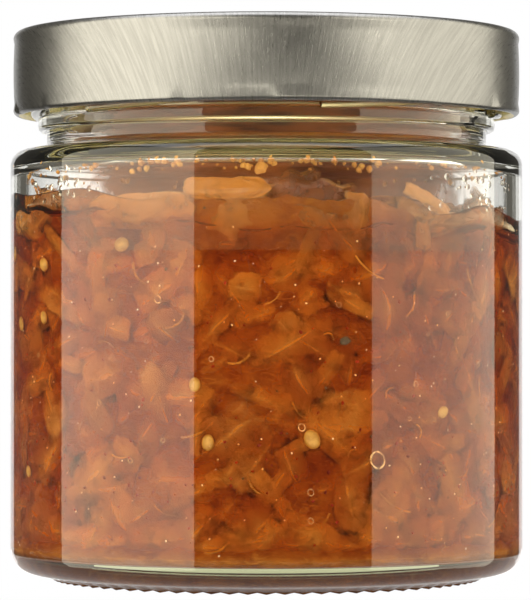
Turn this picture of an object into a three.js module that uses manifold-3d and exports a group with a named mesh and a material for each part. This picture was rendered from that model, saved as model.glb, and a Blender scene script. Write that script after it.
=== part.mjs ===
// A shut glass jar of chopped kimchi under a twist-off steel lid.
// Millimetres, +Z up. The origin is on the jar's axis, at the level of its foot.
// An azimuth is counted in degrees from the front, which faces -Y, towards +X.

import * as THREE from 'three';
import { mergeVertices } from 'three/addons/utils/BufferGeometryUtils.js';
import Module from 'manifold-3d';

const wasm = await Module();
wasm.setup();

// Driving dimensions of the glass.
const BODY_RADIUS = 42.7;
const WALL = 2.5;
const BASE_THICKNESS = 3.3;
const UNDERSIDE_Z = 1.3;
const HEEL_RADIUS = 3.6;
const SHOULDER_RADIUS = 2.7;
const SHOULDER_Z = 71.4;
const SHOULDER_THICKNESS = 2.3;
const NECK_RADIUS = 36.7;
const MOUTH_RADIUS = 34.4;
const RIM_Z = 88.9;
const BEAD_RADIUS = 38.1;
const BEAD_Z = 75.7;
const BEAD_HEIGHT = 2.2;
const FINISH_RADIUS = 37.6;

// The bearing ring that the jar stands on, and the hollow that it surrounds.
const FOOT_INNER_RADIUS = 33.4;
const FOOT_OUTER_RADIUS = 35.6;
const RING_RADIUS = 37.9;
const PUNT_RADIUS = 31.8;
const PUNT_Z = 1.7;

// The six inclined ribs that the lid's lugs catch.
const LUG_COUNT = 6;
const LUG_AZIMUTH = -8.4;
const RIB_RADIUS = 39.5;
const RIB_HEIGHT = 2.0;
const RIB_SWEEP = 46;
const RIB_LOW_Z = 78.1;
const RIB_RISE = 3.2;
const RIB_STEPS = 8;

// Driving dimensions of the lid.
const LID_RADIUS = 42.2;
const LID_TOP_Z = 91;
const LID_EDGE_Z = 77.1;
const LID_SHEET = 0.5;
const LID_CORNER_RADIUS = 1.2;
const CURL_RADIUS = 0.8;
const PANEL_RADIUS = 38.2;
const PANEL_DROP = 0.8;
const PANEL_STEP = 1.2;
const BUTTON_RADIUS = 14;
const BUTTON_RISE = 0.35;
const LUG_DENT = 0.4;
const LUG_HALF_ANGLE = 15;
const LUG_HEIGHT = 3;

// Driving dimensions of the kimchi.
const GAP = 0.3;
const FILL_Z = 57;
const FRONT_RISE = 5.5;
const FRONT_RISE_SPREAD = 26;
const CORE_INSET = 1.9;
const CORE_RELIEF = 0.5;
const TOP_RELIEF = 1.3;
const LEAF_COUNT = 20;
const SHRED_COUNT = 16;
const TOP_LEAF_COUNT = 7;
const SEED_LENGTH = 3.3;
const SEED_WIDTH = 2.4;

// How finely round forms are cut into flats.
const ROUND_STEPS = 60;
const CORE_STEPS = 36;
const ARC_STEPS = 3;
const WELD_TOLERANCE = 1e-4;

const CAVITY_RADIUS = BODY_RADIUS - WALL;
const FLOOR_Z = UNDERSIDE_Z + BASE_THICKNESS;
const CEILING_Z = SHOULDER_Z - SHOULDER_THICKNESS;
const PANEL_Z = LID_TOP_Z - PANEL_DROP;

const radians = THREE.MathUtils.degToRad;

function at(radius, height) {
  return new THREE.Vector2(radius, height);
}

// Points on a circular arc in a profile, in degrees from the outward direction.
function arc(radius, height, size, from, to, steps = ARC_STEPS) {
  const points = [];
  for (let i = 0; i <= steps; i += 1) {
    const angle = radians(from + (to - from) * i / steps);
    points.push(at(radius + size * Math.cos(angle), height + size * Math.sin(angle)));
  }
  return points;
}

// Repeats the same draws in every run.
function seededDraw(seed) {
  let state = seed;
  return (low, high) => {
    state = (Math.imul(state, 1664525) + 1013904223) >>> 0;
    return low + (high - low) * state / 4294967296;
  };
}

// Keeps positions alone, merges shared vertices and drops triangles of no area.
function weld(geometry) {
  const bare = geometry.clone();
  for (const name of Object.keys(bare.attributes)) {
    if (name !== 'position') {
      bare.deleteAttribute(name);
    }
  }
  const merged = mergeVertices(bare, WELD_TOLERANCE);
  const kept = [];
  const index = merged.index.array;
  for (let i = 0; i < index.length; i += 3) {
    const [a, b, c] = [index[i], index[i + 1], index[i + 2]];
    if (a !== b && b !== c && c !== a) {
      kept.push(a, b, c);
    }
  }
  merged.setIndex(kept);
  return merged;
}

// A profile of radius and height, turned about the Z axis into a closed solid.
function turned(profile, steps = ROUND_STEPS) {
  return weld(new THREE.LatheGeometry(profile, steps).rotateX(Math.PI / 2));
}

function solidOf(geometry) {
  const welded = weld(geometry);
  return new wasm.Manifold(new wasm.Mesh({
    numProp: 3,
    vertProperties: Float32Array.from(welded.attributes.position.array),
    triVerts: Uint32Array.from(welded.index.array),
  }));
}

// The largest closed shell of a solid: sealed pockets are filled, scraps dropped.
function largestShell(solid) {
  const { vertProperties, triVerts } = solid.getMesh();
  const parent = Array.from({ length: vertProperties.length / 3 }, (unused, i) => i);
  const root = (i) => {
    let top = i;
    while (parent[top] !== top) {
      parent[top] = parent[parent[top]];
      top = parent[top];
    }
    return top;
  };
  for (let i = 0; i < triVerts.length; i += 3) {
    parent[root(triVerts[i])] = root(triVerts[i + 1]);
    parent[root(triVerts[i + 1])] = root(triVerts[i + 2]);
  }
  const shells = new Map();
  for (let i = 0; i < triVerts.length; i += 3) {
    const key = root(triVerts[i]);
    const triangles = shells.get(key) ?? [];
    triangles.push(triVerts[i], triVerts[i + 1], triVerts[i + 2]);
    shells.set(key, triangles);
  }
  const largest = [...shells.values()].sort((a, b) => b.length - a.length)[0];
  const geometry = new THREE.BufferGeometry();
  geometry.setAttribute('position', new THREE.BufferAttribute(vertProperties, 3));
  geometry.setIndex(largest);
  return geometry;
}

function namedMesh(name, geometry, material) {
  geometry.computeVertexNormals();
  const mesh = new THREE.Mesh(geometry, material);
  mesh.name = name;
  return mesh;
}

function onWall(azimuth, height, radius) {
  const angle = radians(azimuth);
  return new THREE.Vector3(radius * Math.sin(angle), -radius * Math.cos(angle), height);
}

// From the middle of the underside, out round the ring and heel and up to the rim,
// then down the mouth and the inner wall to the middle of the floor.
function jarProfile() {
  const heelCentre = BODY_RADIUS - HEEL_RADIUS;
  const shoulderCentre = BODY_RADIUS - SHOULDER_RADIUS;
  const neckFillet = 0.8;
  const slopeRise = 0.6;
  const neckRoot = SHOULDER_Z + slopeRise;
  const beadRound = 0.6;
  const rimRound = (FINISH_RADIUS - MOUTH_RADIUS) / 2;
  const mouthRound = 1.6;
  const ceilingRound = 2.3;
  const floorRound = 1.7;
  const ringTopZ = UNDERSIDE_Z - 0.05;
  return [
    at(0, PUNT_Z),
    at(PUNT_RADIUS, UNDERSIDE_Z),
    at(FOOT_INNER_RADIUS, 0),
    at(FOOT_OUTER_RADIUS, 0),
    at(RING_RADIUS, ringTopZ),
    ...arc(heelCentre, UNDERSIDE_Z + HEEL_RADIUS, HEEL_RADIUS, -90, 0),
    ...arc(shoulderCentre, SHOULDER_Z - SHOULDER_RADIUS, SHOULDER_RADIUS, 0, 90),
    ...arc(NECK_RADIUS + neckFillet, neckRoot + neckFillet, neckFillet, 270, 180, 1),
    at(NECK_RADIUS, BEAD_Z - BEAD_HEIGHT / 2 - beadRound / 2),
    at(BEAD_RADIUS, BEAD_Z - BEAD_HEIGHT / 2 + beadRound),
    at(BEAD_RADIUS, BEAD_Z + BEAD_HEIGHT / 2 - beadRound),
    at(FINISH_RADIUS, BEAD_Z + BEAD_HEIGHT / 2),
    ...arc(MOUTH_RADIUS + rimRound, RIM_Z - rimRound, rimRound, 0, 180, 4),
    ...arc(MOUTH_RADIUS + mouthRound, neckRoot - 0.6, mouthRound, 180, 270, 2),
    ...arc(CAVITY_RADIUS - ceilingRound, CEILING_Z - ceilingRound, ceilingRound, 90, 0, 2),
    ...arc(CAVITY_RADIUS - floorRound, FLOOR_Z + floorRound, floorRound, 0, -90, 2),
    at(0, FLOOR_Z + 0.3),
  ];
}

// One short rib, climbing round the finish. Its root lies inside the glass.
function threadRib(azimuth) {
  const rootDepth = 0.8;
  const middleRadius = (RIB_RADIUS + FINISH_RADIUS - rootDepth) / 2;
  const halfDepth = RIB_RADIUS - middleRadius;
  const section = new THREE.Shape([
    at(-RIB_HEIGHT / 2, -halfDepth),
    at(RIB_HEIGHT / 2, -halfDepth),
    at(RIB_HEIGHT / 4, halfDepth),
    at(-RIB_HEIGHT / 4, halfDepth),
  ]);
  const points = [];
  for (let i = 0; i <= RIB_STEPS; i += 1) {
    const share = i / RIB_STEPS;
    const turn = azimuth + RIB_SWEEP * (share - 0.5);
    points.push(onWall(turn, RIB_LOW_Z + RIB_RISE * share, middleRadius));
  }
  const path = new THREE.CatmullRomCurve3(points);
  return solidOf(new THREE.ExtrudeGeometry(section, { steps: RIB_STEPS, extrudePath: path }));
}

function jarGlass() {
  let glass = solidOf(turned(jarProfile()));
  for (let i = 0; i < LUG_COUNT; i += 1) {
    glass = glass.add(threadRib(LUG_AZIMUTH + 30 + 360 * i / LUG_COUNT));
  }
  const material = new THREE.MeshStandardMaterial({
    color: '#cfc9a4', roughness: 0.05, metalness: 0, transparent: true, opacity: 0.35,
  });
  return namedMesh('jar_glass', largestShell(glass), material);
}

// From the middle of the panel's underside, out and down the skirt's inside,
// round the rolled edge, up the skirt and back over the bead and the panel.
function lidProfile() {
  const edgeRadius = LID_RADIUS - CURL_RADIUS;
  const edgeZ = LID_EDGE_Z + CURL_RADIUS;
  const cornerRadius = LID_RADIUS - LID_CORNER_RADIUS;
  const cornerZ = LID_TOP_Z - LID_CORNER_RADIUS;
  const innerCorner = LID_CORNER_RADIUS - LID_SHEET;
  return [
    at(0, PANEL_Z + BUTTON_RISE - LID_SHEET),
    at(BUTTON_RADIUS, PANEL_Z + BUTTON_RISE - LID_SHEET),
    at(BUTTON_RADIUS + PANEL_STEP, PANEL_Z - LID_SHEET),
    at(PANEL_RADIUS, PANEL_Z - LID_SHEET),
    at(PANEL_RADIUS + PANEL_STEP, LID_TOP_Z - LID_SHEET),
    ...arc(cornerRadius, cornerZ, innerCorner, 90, 0, 1),
    at(LID_RADIUS - LID_SHEET, edgeZ + 2 * CURL_RADIUS),
    ...arc(edgeRadius, edgeZ, CURL_RADIUS, 135, 360, 5),
    ...arc(cornerRadius, cornerZ, LID_CORNER_RADIUS, 0, 90),
    at(PANEL_RADIUS + PANEL_STEP, LID_TOP_Z),
    at(PANEL_RADIUS, PANEL_Z),
    at(BUTTON_RADIUS + PANEL_STEP, PANEL_Z),
    at(BUTTON_RADIUS, PANEL_Z + BUTTON_RISE),
    at(0, PANEL_Z + BUTTON_RISE),
  ];
}

// How far a place on the lid's edge is pressed in by the nearest lug, from 0 to 1.
function lugShare(azimuth, height) {
  const pitch = 360 / LUG_COUNT;
  const offset = THREE.MathUtils.euclideanModulo(azimuth - LUG_AZIMUTH + pitch / 2, pitch);
  const away = Math.abs(offset - pitch / 2) / LUG_HALF_ANGLE;
  const above = (height - LID_EDGE_Z) / LUG_HEIGHT;
  if (away >= 1 || above >= 1) {
    return 0;
  }
  return Math.cos(away * Math.PI / 2) ** 2 * (1 - above);
}

function lid() {
  const geometry = turned(lidProfile());
  const position = geometry.attributes.position;
  const point = new THREE.Vector3();
  for (let i = 0; i < position.count; i += 1) {
    point.fromBufferAttribute(position, i);
    const azimuth = THREE.MathUtils.radToDeg(Math.atan2(point.x, -point.y));
    const radius = Math.hypot(point.x, point.y);
    const pressed = radius - LUG_DENT * lugShare(azimuth, point.z);
    const moved = onWall(azimuth, point.z, radius > PANEL_RADIUS ? pressed : radius);
    position.setXYZ(i, moved.x, moved.y, moved.z);
  }
  const material = new THREE.MeshStandardMaterial({
    color: '#b9b4a6', roughness: 0.4, metalness: 1,
  });
  return namedMesh('lid', geometry, material);
}

// A gentle unevenness from -1 to 1 that depends only on the place.
function unevenness(x, y, z) {
  const broad = Math.sin(x * 0.21 + 1.3) * Math.cos(y * 0.19 + z * 0.17);
  const fine = Math.sin(x * 0.47 - z * 0.53 + 0.4) * Math.cos(y * 0.51 + 2.1);
  return 0.6 * broad + 0.4 * fine;
}

// The level of the packed kimchi, which is heaped up against the front.
function fillLevel(x, y) {
  const fromFront = Math.hypot(x, y + 0.8 * CAVITY_RADIUS) / FRONT_RISE_SPREAD;
  const heap = FRONT_RISE * Math.exp(-fromFront * fromFront);
  return FILL_Z + heap + TOP_RELIEF * unevenness(x, y, 0);
}

function kimchiCore() {
  const radius = CAVITY_RADIUS - CORE_INSET;
  const sideRows = 4;
  const topRows = 4;
  const lowEdge = 2;
  const profile = [at(0, FLOOR_Z + GAP + 0.3), at(radius - lowEdge, FLOOR_Z + GAP)];
  for (let i = 0; i <= sideRows; i += 1) {
    profile.push(at(radius, FLOOR_Z + lowEdge + (FILL_Z - FLOOR_Z - lowEdge) * i / sideRows));
  }
  const firstTopPoint = FILL_Z + 0.01;
  for (let i = 1; i <= topRows; i += 1) {
    profile.push(at(radius * (1 - i / topRows), firstTopPoint + i / 100));
  }
  const geometry = turned(profile, CORE_STEPS);
  const position = geometry.attributes.position;
  for (let i = 0; i < position.count; i += 1) {
    const x = position.getX(i);
    const y = position.getY(i);
    const z = position.getZ(i);
    const bulge = z > FLOOR_Z + 1 ? 1 + CORE_RELIEF * unevenness(x, y, z) / radius : 1;
    const level = fillLevel(x, y);
    const raised = FLOOR_Z + (z - FLOOR_Z) * (level - FLOOR_Z) / (FILL_Z - FLOOR_Z);
    position.setXYZ(i, x * bulge, y * bulge, z > FLOOR_Z + 1 ? raised : z);
  }
  return solidOf(geometry);
}

// A thin closed sheet over a grid. place(along, across, out) gives a point of it,
// where along and across run from -1 to 1 and out is 1 on the outer face, -1 inside.
function closedSheet(alongCells, acrossCells, place) {
  const rows = alongCells + 1;
  const columns = acrossCells + 1;
  const positions = [];
  for (const out of [1, -1]) {
    for (let i = 0; i < rows; i += 1) {
      for (let j = 0; j < columns; j += 1) {
        const along = 2 * i / alongCells - 1;
        const across = 2 * j / acrossCells - 1;
        positions.push(...place(along, across, out).toArray());
      }
    }
  }
  const outer = (i, j) => i * columns + j;
  const inner = (i, j) => rows * columns + outer(i, j);
  const index = [];
  for (let i = 0; i < alongCells; i += 1) {
    for (let j = 0; j < acrossCells; j += 1) {
      index.push(outer(i, j), outer(i + 1, j), outer(i + 1, j + 1));
      index.push(outer(i, j), outer(i + 1, j + 1), outer(i, j + 1));
      index.push(inner(i, j), inner(i + 1, j + 1), inner(i + 1, j));
      index.push(inner(i, j), inner(i, j + 1), inner(i + 1, j + 1));
    }
  }
  const border = [];
  for (let i = 0; i < alongCells; i += 1) {
    border.push([i, 0]);
  }
  for (let j = 0; j < acrossCells; j += 1) {
    border.push([alongCells, j]);
  }
  for (let i = alongCells; i > 0; i -= 1) {
    border.push([i, acrossCells]);
  }
  for (let j = acrossCells; j > 0; j -= 1) {
    border.push([0, j]);
  }
  border.forEach((here, k) => {
    const next = border[(k + 1) % border.length];
    index.push(inner(...here), inner(...next), outer(...next));
    index.push(inner(...here), outer(...next), outer(...here));
  });
  const geometry = new THREE.BufferGeometry();
  geometry.setAttribute('position', new THREE.Float32BufferAttribute(positions, 3));
  geometry.setIndex(index);
  return solidOf(geometry);
}

// A cut of leaf or a shred pressed flat against the glass, tapering at its ends.
function wallPiece(piece, alongCells, acrossCells) {
  const radius = CAVITY_RADIUS - GAP;
  const turn = radians(piece.turn);
  return closedSheet(alongCells, acrossCells, (along, across, out) => {
    const width = piece.width / 2 * (piece.taper + (1 - piece.taper) * (1 - along * along));
    const u = along * piece.length / 2;
    const v = across * width + piece.bend * along * along;
    const sideways = u * Math.cos(turn) - v * Math.sin(turn);
    const upwards = u * Math.sin(turn) + v * Math.cos(turn);
    const wave = piece.wave * Math.sin(along * 4 + piece.phase) * Math.cos(across * 2.4);
    const depth = piece.depth + wave + (1 - out) / 2 * piece.thickness;
    const azimuth = piece.azimuth + THREE.MathUtils.radToDeg(sideways / radius);
    return onWall(azimuth, piece.height + upwards, radius - depth);
  });
}

// A cut of leaf that lies or leans on top, its middle at a place above the fill.
function topPiece(piece) {
  const centre = onWall(piece.azimuth, 0, piece.reach);
  centre.z = fillLevel(centre.x, centre.y) + piece.lift;
  const turn = new THREE.Euler(radians(piece.lean), radians(piece.roll), radians(piece.turn), 'ZYX');
  return closedSheet(5, 2, (along, across, out) => {
    const width = piece.width / 2 * (0.45 + 0.55 * (1 - along * along));
    const wave = piece.wave * Math.sin(along * 3.5 + piece.phase);
    const curl = piece.curl * (across * across - 0.4);
    const point = new THREE.Vector3(along * piece.length / 2, across * width, 0);
    point.z = wave + curl + out * piece.thickness / 2;
    return point.applyEuler(turn).add(centre);
  });
}

function seed(azimuth, height) {
  const geometry = new THREE.SphereGeometry(0.5, 5, 4);
  geometry.scale(SEED_LENGTH, 1.4, SEED_WIDTH);
  geometry.rotateY(radians(azimuth * 7));
  geometry.rotateZ(radians(azimuth));
  const middle = onWall(azimuth, height, CAVITY_RADIUS - GAP - 0.8);
  geometry.translate(middle.x, middle.y, middle.z);
  return solidOf(geometry);
}

// Cuts of cabbage leaf spread evenly over the glass, by a golden-angle spiral.
function wallLeaves() {
  const draw = seededDraw(7);
  const pieces = [];
  for (let i = 0; i < LEAF_COUNT; i += 1) {
    const share = (i + 0.5) / LEAF_COUNT;
    pieces.push(wallPiece({
      azimuth: i * 137.5 + draw(-9, 9),
      height: FLOOR_Z + 7 + share * (FILL_Z - FLOOR_Z - 12),
      length: draw(15, 25),
      width: draw(7, 12),
      turn: draw(-65, 65),
      taper: draw(0.3, 0.7),
      bend: draw(-2.5, 2.5),
      thickness: draw(2.6, 3),
      depth: draw(0.5, 0.9),
      wave: draw(0.15, 0.4),
      phase: draw(0, 6),
    }, 4, 2));
  }
  return pieces;
}

// Narrow shreds between the leaves, spread by the same rule.
function wallShreds() {
  const draw = seededDraw(23);
  const pieces = [];
  for (let i = 0; i < SHRED_COUNT; i += 1) {
    const share = (i + 0.5) / SHRED_COUNT;
    pieces.push(wallPiece({
      azimuth: i * 137.5 + 60 + draw(-9, 9),
      height: FLOOR_Z + 5 + share * (FILL_Z - FLOOR_Z - 7),
      length: draw(10, 17),
      width: draw(2, 3.2),
      turn: draw(-80, 80),
      taper: 0.6,
      bend: draw(-2, 2),
      thickness: 3,
      depth: draw(0.3, 0.6),
      wave: draw(0.05, 0.2),
      phase: draw(0, 6),
    }, 3, 1));
  }
  return pieces;
}

// The three cuts that stand out in front, then loose ones over the rest of the top.
function topLeaves() {
  const stalk = {
    azimuth: -9, reach: 35.5, lift: 1.2, length: 13, width: 5, lean: 62, roll: 8, turn: -6,
    wave: 0.4, curl: 0.6, phase: 1, thickness: 1.8,
  };
  const broadLeaf = {
    azimuth: -40, reach: 33, lift: 0.6, length: 19, width: 9, lean: 48, roll: -6, turn: -32,
    wave: 0.9, curl: 0.9, phase: 2, thickness: 1.4,
  };
  const paleLeaf = {
    azimuth: 38, reach: 33.5, lift: 1.4, length: 15, width: 8, lean: 55, roll: 10, turn: 36,
    wave: 0.7, curl: 0.8, phase: 4, thickness: 1.4,
  };
  const pieces = [topPiece(stalk), topPiece(broadLeaf), topPiece(paleLeaf)];
  const draw = seededDraw(41);
  for (let i = 0; i < TOP_LEAF_COUNT; i += 1) {
    pieces.push(topPiece({
      azimuth: 60 + i * 137.5,
      reach: 31 * Math.sqrt((i + 0.5) / TOP_LEAF_COUNT),
      lift: draw(0.3, 1.1),
      length: draw(14, 20),
      width: draw(7, 10),
      lean: draw(-24, 24),
      roll: draw(-12, 12),
      turn: draw(0, 180),
      wave: draw(0.5, 1),
      curl: draw(-1, 1),
      phase: draw(0, 6),
      thickness: draw(1.4, 2),
    }));
  }
  return pieces;
}

// Pale chilli seeds against the glass: those in front where they show,
// the others spread round the sides and the back.
function seeds() {
  const shown = [
    [-79, 54], [-73, 42.5], [-68, 18.5], [-60, 52], [-60, 43.5],
    [-34, 55], [-16, 33], [-13, 24], [10, 24.5], [43, 28.5],
  ];
  const pieces = shown.map(([azimuth, height]) => seed(azimuth, height));
  const draw = seededDraw(59);
  const hiddenCount = 6;
  for (let i = 0; i < hiddenCount; i += 1) {
    pieces.push(seed(90 + 180 * (i + 0.5) / hiddenCount, draw(FLOOR_Z + 6, FILL_Z - 4)));
  }
  return pieces;
}

// The space inside the glass, less the clearance that the kimchi keeps to it.
function clearCavity() {
  const round = 2.2;
  const radius = CAVITY_RADIUS - GAP;
  const lowZ = FLOOR_Z + GAP;
  const highZ = CEILING_Z - GAP;
  return solidOf(turned([
    at(0, lowZ + GAP),
    ...arc(radius - round, lowZ + round, round, -90, 0, 2),
    ...arc(radius - round, highZ - round, round, 0, 90, 2),
    at(0, highZ),
  ]));
}

function kimchi() {
  let heap = kimchiCore();
  for (const piece of [...wallLeaves(), ...wallShreds(), ...topLeaves(), ...seeds()]) {
    heap = heap.add(piece);
  }
  const material = new THREE.MeshStandardMaterial({
    color: '#a65a1c', roughness: 0.45, metalness: 0,
  });
  return namedMesh('kimchi', largestShell(heap.intersect(clearCavity())), material);
}

const jar = new THREE.Group();
jar.add(jarGlass(), kimchi(), lid());

export default jar;
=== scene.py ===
import math
import random

import bpy
from mathutils import Euler, Matrix, Vector


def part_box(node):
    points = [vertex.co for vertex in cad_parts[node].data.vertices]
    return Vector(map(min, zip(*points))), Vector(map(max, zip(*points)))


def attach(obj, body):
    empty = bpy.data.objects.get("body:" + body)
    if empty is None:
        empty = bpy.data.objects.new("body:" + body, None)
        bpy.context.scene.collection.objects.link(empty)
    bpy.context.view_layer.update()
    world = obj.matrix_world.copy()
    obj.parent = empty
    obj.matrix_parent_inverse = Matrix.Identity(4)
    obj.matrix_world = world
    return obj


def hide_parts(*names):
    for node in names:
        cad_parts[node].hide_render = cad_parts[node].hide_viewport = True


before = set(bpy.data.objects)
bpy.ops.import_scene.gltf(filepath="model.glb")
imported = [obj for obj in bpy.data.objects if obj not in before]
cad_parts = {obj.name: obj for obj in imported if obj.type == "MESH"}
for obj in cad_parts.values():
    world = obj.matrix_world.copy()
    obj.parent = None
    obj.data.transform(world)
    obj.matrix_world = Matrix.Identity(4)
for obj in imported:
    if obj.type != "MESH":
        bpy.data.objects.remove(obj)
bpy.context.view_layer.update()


# The view of the photograph: a long lens, level with the middle of the jar
# and 0.57 m from its axis, tipped up by the little that the framing needs.
FRAME_HEIGHT = 600
HORIZON_BELOW_MIDDLE = 25
SENSOR = 36
LENS = 202.7
CAMERA_DISTANCE = 0.565
CAMERA_HEIGHT = 0.0423
CAMERA_SIDE = -0.00015

camera_data = bpy.data.cameras.new("camera")
camera_data.lens = LENS
camera_data.sensor_width = SENSOR
camera_data.clip_start = 0.01
camera = bpy.data.objects.new("camera", camera_data)
bpy.context.scene.collection.objects.link(camera)
camera.location = (CAMERA_SIDE, -CAMERA_DISTANCE, CAMERA_HEIGHT)
tip = math.atan(HORIZON_BELOW_MIDDLE / FRAME_HEIGHT * SENSOR / LENS)
camera.rotation_euler = (math.pi / 2 + tip, 0, 0)
bpy.context.scene.camera = camera
bpy.context.scene.view_settings.view_transform = "Standard"


# Two tall softboxes, one on each side and a little to the front, whose straight
# edges show in the glass and the lid, a white card behind the jar, and a fill from
# the front that nothing mirrors. Their sizes are in metres and degrees.
WARM_WHITE = (1, 0.94, 0.76)
WHITE = (1, 1, 1)


def area_lamp(name, width, length, radiance, colour):
    data = bpy.data.lights.new(name, "AREA")
    data.shape = "RECTANGLE"
    data.size = width
    data.size_y = length
    data.energy = radiance * math.pi * width * length
    data.color = colour
    lamp = bpy.data.objects.new(name, data)
    bpy.context.scene.collection.objects.link(lamp)
    lamp.visible_camera = False
    return lamp


def softbox(name, azimuth, half_angle, distance, low, high, radiance, colour=WARM_WHITE):
    width = 2 * distance * math.tan(math.radians(half_angle))
    lamp = area_lamp(name, width, high - low, radiance, colour)
    turn = math.radians(azimuth)
    place = Vector((math.sin(turn) * distance, -math.cos(turn) * distance, 0))
    lamp.location = place + Vector((0, 0, (low + high) / 2))
    lamp.rotation_euler = (-place).to_track_quat("-Z", "Y").to_euler()
    return lamp


softbox("softbox_left", azimuth=-66, half_angle=35, distance=0.8, low=-0.4, high=1.1, radiance=3.1)
softbox("softbox_right", azimuth=83, half_angle=37, distance=0.8, low=-0.4, high=1.1, radiance=2.3)
softbox(
    "card_behind", azimuth=180, half_angle=26.5, distance=0.7, low=-0.15, high=0.3,
    radiance=0.95, colour=WHITE,
)
fill = softbox("front_fill", azimuth=0, half_angle=30, distance=1.2, low=0, high=1, radiance=3.5)
fill.visible_glossy = False
fill.visible_transmission = False


# One softbox hangs overhead. The table shines up through the glass from just in
# front of the jar, and glows right under it, where the heel gathers its light.
def level_light(name, width, depth, place, radiance, facing_down=False):
    lamp = area_lamp(name, width, depth, radiance, WHITE)
    lamp.location = place
    lamp.rotation_euler = (0 if facing_down else math.pi, 0, 0)
    return lamp


level_light("overhead", 1.4, 1.0, place=(0, 0, 1.1), radiance=3.0, facing_down=True)
level_light("foot_glow", 0.12, 0.12, place=(0, 0, 0.0004), radiance=0.6)
table = level_light("table_shine", 0.36, 0.2, place=(0, -0.17, 0.002), radiance=2.6)
table.visible_diffuse = False
table.visible_glossy = False


# The walls of the room are white to the lens, and dim and warm to what the glass
# and the steel mirror. Their shader, like every other, is put together by a small
# kit: a Finish is one of them, and a Value is what one of its nodes gives.
class Value:
    def __init__(self, finish, socket):
        self.finish = finish
        self.socket = socket

    def maths(self, operation, first, second):
        return self.finish.node("ShaderNodeMath", {"operation": operation}, {0: first, 1: second})

    def __add__(self, other):
        return self.maths("ADD", self, other)

    def __radd__(self, other):
        return self.maths("ADD", other, self)

    def __sub__(self, other):
        return self.maths("SUBTRACT", self, other)

    def __rsub__(self, other):
        return self.maths("SUBTRACT", other, self)

    def __mul__(self, other):
        return self.maths("MULTIPLY", self, other)

    def __rmul__(self, other):
        return self.maths("MULTIPLY", other, self)

    def __truediv__(self, other):
        return self.maths("DIVIDE", self, other)

    def __rtruediv__(self, other):
        return self.maths("DIVIDE", other, self)

    def __pow__(self, other):
        return self.maths("POWER", self, other)


class Finish:
    def __init__(self, name, block=None, end="ShaderNodeOutputMaterial"):
        self.block = block or bpy.data.materials.new(name)
        self.block.use_nodes = True
        self.tree = self.block.node_tree
        self.tree.nodes.clear()
        self.end = end

    def node(self, kind, settings=None, inputs=None, output=0):
        made = self.tree.nodes.new(kind)
        for key, setting in (settings or {}).items():
            setattr(made, key, setting)
        for key, given in (inputs or {}).items():
            if isinstance(given, Value):
                self.tree.links.new(given.socket, made.inputs[key])
            elif made.inputs[key].type == "RGBA":
                made.inputs[key].default_value = (*given, 1)
            else:
                made.inputs[key].default_value = given
        return Value(self, made.outputs[output])

    def place(self, kind="Object"):
        return self.node("ShaderNodeTexCoord", output=kind)

    def axes(self, where):
        split = self.node("ShaderNodeSeparateXYZ", None, {0: where}).socket.node
        return [Value(self, output) for output in split.outputs]

    def tone(self):
        return self.node("ShaderNodeAttribute", {"attribute_name": "tone"}, output="Fac")

    def span(self, value, low, high, to_low=0.0, to_high=1.0):
        inputs = {"Value": value, 1: low, 2: high, 3: to_low, 4: to_high}
        return self.node("ShaderNodeMapRange", {"interpolation_type": "SMOOTHSTEP"}, inputs)

    def noise(self, where, scale, detail, roughness=0.5, distortion=0.0):
        inputs = {
            "Vector": where, "Scale": scale, "Detail": detail,
            "Roughness": roughness, "Distortion": distortion,
        }
        return self.node("ShaderNodeTexNoise", None, inputs)

    def stretched(self, where, turn, scale):
        inputs = {"Vector": where, "Rotation": turn, "Scale": scale}
        return self.node("ShaderNodeMapping", None, inputs)

    def blend(self, share, low, high):
        inputs = {0: share, 6: low, 7: high}
        return self.node("ShaderNodeMix", {"data_type": "RGBA"}, inputs, output=2)

    def bump(self, height, distance, strength):
        inputs = {"Height": height, "Distance": distance, "Strength": strength}
        return self.node("ShaderNodeBump", None, inputs)

    def principled(self, inputs):
        return self.node("ShaderNodeBsdfPrincipled", None, inputs)

    def by_share(self, share, first, second):
        return self.node("ShaderNodeMixShader", None, {0: share, 1: first, 2: second})

    def by_ray(self, ray, other, met):
        return self.by_share(self.node("ShaderNodeLightPath", output=ray), other, met)

    def surface(self, shader, volume=None):
        end = self.tree.nodes.new(self.end)
        self.tree.links.new(shader.socket, end.inputs["Surface"])
        if volume:
            self.tree.links.new(volume.socket, end.inputs["Volume"])
        return self.block


ROOM_GLOW = 0.12
world = bpy.data.worlds.new("room")
bpy.context.scene.world = world
room = Finish("room", world, "ShaderNodeOutputWorld")
seen = room.node("ShaderNodeBackground", None, {"Color": WHITE, "Strength": 1.0})
dim = room.node("ShaderNodeBackground", None, {"Color": (1, 0.94, 0.8), "Strength": ROOM_GLOW})
room.surface(room.by_ray("Is Camera Ray", dim, seen))


# The table is a pale board, wide enough to run out of sight. The lens sees it as
# plain white, and the glass and the lid don't mirror it.
FLOOR_WIDTH = 6


def begun(primitive, **sizes):
    bpy.ops.object.select_all(action="DESELECT")
    primitive(**sizes)
    return bpy.context.object


floor = begun(bpy.ops.mesh.primitive_plane_add, size=FLOOR_WIDTH)
floor.name = "floor"
pale = Finish("pale_floor")
seen = pale.node("ShaderNodeEmission", None, {"Color": WHITE, "Strength": 1.0})
dim = pale.node("ShaderNodeBsdfDiffuse", None, {"Color": (0.8, 0.79, 0.77)})
floor.data.materials.append(pale.surface(pale.by_ray("Is Camera Ray", dim, seen)))
floor.visible_glossy = False


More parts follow.
